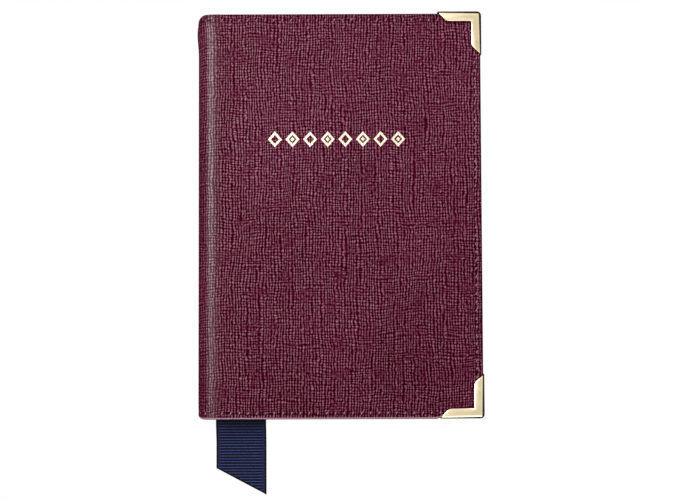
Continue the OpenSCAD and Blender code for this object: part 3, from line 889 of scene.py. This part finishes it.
low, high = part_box("foil_marks")
FOIL = {"count": 8, "pitch": 6.2, "wide": 4.9, "high": 5.5, "line": 0.75, "dot": 1.6}
mesh = bmesh.new()
cut = mesh.verts.layers.float_vector.new("flat_cut")
middle = (low + high) / 2
for k in range(FOIL["count"]):
    centre = Matrix.Translation((middle.x + (k - (FOIL["count"] - 1) / 2) * FOIL["pitch"] * MM,
                                 middle.y, thickness + 0.03 * MM))
    shape = Matrix.Diagonal((FOIL["wide"], FOIL["high"], 1, 1))
    made = bmesh.ops.create_circle(mesh, cap_ends=True, segments=4, radius=0.5 * MM, matrix=centre @ shape)
    ring = {f for v in made["verts"] for f in v.link_faces}
    bmesh.ops.inset_region(mesh, faces=list(ring), thickness=FOIL["line"] * MM,
                           use_boundary=True, use_even_offset=True)
    bmesh.ops.delete(mesh, geom=list(ring), context="FACES")
    if k % 2:
        dot = Matrix.Diagonal((FOIL["dot"] * FOIL["wide"] / FOIL["high"], FOIL["dot"], 1, 1))
        bmesh.ops.create_circle(mesh, cap_ends=True, segments=4, radius=0.5 * MM, matrix=centre @ dot)
bmesh.ops.recalc_face_normals(mesh, faces=mesh.faces)
for face in mesh.faces:
    if face.normal.z < 0:
        face.normal_flip()
for vertex in mesh.verts:
    vertex[cut] = (wrap_length - (half_width - vertex.co.x), vertex.co.y, 0)
foil = finish_mesh("foil_lozenges", mesh, foil_finish(), 0.06 * MM, smooth=False)
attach(foil, "front_cover")
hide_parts("foil_marks")


# ---- Ribbon marker ----
# A navy grosgrain ribbon is sewn under the lining at the head, lies in the fold beside the
# spine, and hangs out at the tail, where it is cut on a slant and sealed.

RIBBON = {"rib": 1.0, "rib_height": 0.13, "half_thick": 0.1}      # in mm
marker_low, marker_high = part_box("ribbon_marker")
tail_low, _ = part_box("ribbon_tail")
ribbon_wide = marker_high.x - marker_low.x
ribbon_middle = (marker_low.z + marker_high.z) / 2
drop_start, drop_run = -half_height - 0.35 * MM, 9.0 * MM
rest_level = tail_low.z + 0.2 * MM
slant_drop = 9.4 * MM


def ribbon_path(y):
    """Height and slope of the ribbon's middle at this distance towards the tail."""
    share = min(max((drop_start - y) / drop_run, 0), 1)
    fall = ribbon_middle - rest_level
    height = rest_level + fall * (1 + math.cos(math.pi * share)) / 2
    slope = fall * math.pi / 2 * math.sin(math.pi * share) / drop_run if 0 < share < 1 else 0
    return height, slope


def ribbon_finish():
    finish = Finish(bpy.data.materials.new("navy_grosgrain"))
    place = finish.place("weave")
    across, along, to_cut = finish.axes(place)
    rib = along.wave(RIBBON["rib"] * MM)
    warp = (across + finish.noise(place, (700, 700, 700), 1.0) * (0.25 * MM)).wave(0.34 * MM)
    mottle = finish.noise(place, (1500, 900, 1500), 2.0, 3.0)
    # darker in the gaps between the ribs, partly the weave's own colour and partly painted shade
    shade = finish.ramp(rib.step(0.55, 1.0) * 0.6 + warp * 0.12 + mottle * 0.28, [
        (0.15, linear(0, 0, 20)), (0.35, linear(0, 1, 38)), (0.58, linear(10, 16, 60)),
        (0.9, linear(66, 76, 118)),
    ])
    edge = (across - 0.5 * ribbon_wide).maths("ABSOLUTE")
    band = edge.step(0.5 * ribbon_wide - 1.75 * MM, 0.5 * ribbon_wide - 1.6 * MM)
    cord = edge.step(0.5 * ribbon_wide - 0.75 * MM, 0.5 * ribbon_wide - 0.55 * MM)
    sealed = 1 - to_cut.step(0.4 * MM, 0.75 * MM)
    shade = finish.mix(band * 0.5, shade, linear(20, 25, 62))
    # near black at both edges, partly the edge cord's own colour and partly painted shade where the ribbon
    # rounds over; the sealed cut end is dark of itself
    dark = cord.maths("MAXIMUM", sealed)
    shade = finish.mix(dark, shade, linear(0, 0, 6))
    # painted shadow of the front cover on the ribbon, fading over the first 5 mm beyond the tail edge
    shaded = 1 - (-half_height - along).step(0.2 * MM, 5.0 * MM)
    shade = finish.mix(shaded * 0.75, shade, linear(2, 2, 22))
    return finish.surface(
        base_color=shade, roughness=0.7, specular_ior_level=0.12,
        normal=finish.bump(warp * 0.5 + mottle, 0.03 * MM, 0.6),
    )


ribbon_start, ribbon_end = marker_high.y, tail_low.y
edge_steps = [0, 0.12, 0.3, 0.5, 0.8, 1.2, 1.6, 1.9]
columns = stations(0, ribbon_wide / MM, edge_steps, edge_steps, 2.3)
row_pitch = RIBBON["rib"] / 8
row_count = int((ribbon_start - ribbon_end) / MM / row_pitch) + 1
rows = [ribbon_end / MM + k * row_pitch for k in range(row_count)]
mesh = bmesh.new()
weave = mesh.verts.layers.float_vector.new("weave")
cut_slope = slant_drop / ribbon_wide
for vertex, (i, j) in lay_grid(mesh, columns, rows).items():
    vertex.co = (columns[i] * MM, rows[j] * MM, 0)
cut_point = Vector((ribbon_wide, ribbon_end, 0))
bmesh.ops.bisect_plane(
    mesh, geom=mesh.verts[:] + mesh.edges[:] + mesh.faces[:], plane_co=cut_point,
    plane_no=(-cut_slope, -1, 0), clear_outer=True, dist=1e-7,
)
for vertex in mesh.verts:
    across, y = vertex.co.x, vertex.co.y
    to_edge = min(across, ribbon_wide - across) / MM
    to_cut = (y - ribbon_end - (ribbon_wide - across) * cut_slope) / math.hypot(1, cut_slope) / MM
    body = min(1, max(0, (to_edge - 0.5) / 1.3)) * min(1, max(0, (to_cut - 0.3) / 0.5))
    wave = 0.5 + 0.5 * math.sin(2 * math.pi * y / (RIBBON["rib"] * MM))
    roundness = 1 - 0.75 * max(0, 1 - to_edge / 0.3) ** 2
    swell = RIBBON["half_thick"] * roundness + RIBBON["rib_height"] * (0.25 + 0.75 * body) * wave ** 0.6
    if to_edge < 1e-4 or to_cut < 1e-4:
        swell = 0.05
    vertex[weave] = (across, y, to_cut * MM)
    vertex.co.z = swell * MM
under = bmesh.ops.duplicate(mesh, geom=mesh.verts[:] + mesh.edges[:] + mesh.faces[:])["geom"]
for vertex in [g for g in under if isinstance(g, bmesh.types.BMVert)]:
    vertex.co.z = -vertex.co.z
bmesh.ops.bridge_loops(mesh, edges=[e for e in mesh.edges if e.is_boundary])
for vertex in mesh.verts:
    height, slope = ribbon_path(vertex.co.y)
    lean = math.atan(slope)
    lift = vertex.co.z
    vertex.co = (marker_low.x + vertex.co.x, vertex.co.y - lift * math.sin(lean),
                 height + lift * math.cos(lean))
bmesh.ops.recalc_face_normals(mesh, faces=mesh.faces)
ribbon = finish_mesh("ribbon", mesh, ribbon_finish())
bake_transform(ribbon)
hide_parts("ribbon_marker", "ribbon_tail")

mesh = bmesh.new()
anchor_low, anchor_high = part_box("ribbon_anchor_stitches")
for k in range(6):
    x = marker_low.x + ribbon_wide * (k + 0.5) / 6
    place = Vector((x, (anchor_low.y + anchor_high.y) / 2, ribbon_middle + 0.24 * MM))
    sew(mesh, place, slanted(Vector((1, 0, 0)), Vector((0, 0, 1)), 0.14), Vector((0, 0, 1)), 2.2)
anchor = finish_mesh("ribbon_anchor_thread", mesh, waxed_thread)
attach(anchor, "back_cover")
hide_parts("ribbon_anchor_stitches")


# ---- Table ----
# A plain white table top, which is not part of the holder.

table_finish = Finish(bpy.data.materials.new("white_table"))
glow = table_finish.node("ShaderNodeEmission", None, {"Color": (1, 1, 1, 1), "Strength": 1.0})
table_finish.node("ShaderNodeOutputMaterial", None, {"Surface": glow})
top = bmesh.new()
bmesh.ops.create_circle(top, cap_ends=True, segments=64, radius=6.0)
bmesh.ops.translate(top, verts=top.verts, vec=(0, 0, -0.3 * MM))
table = finish_mesh("table", top, table_finish.owner, smooth=False)
table.visible_glossy = False
table.visible_diffuse = False
table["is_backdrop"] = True

low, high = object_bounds()
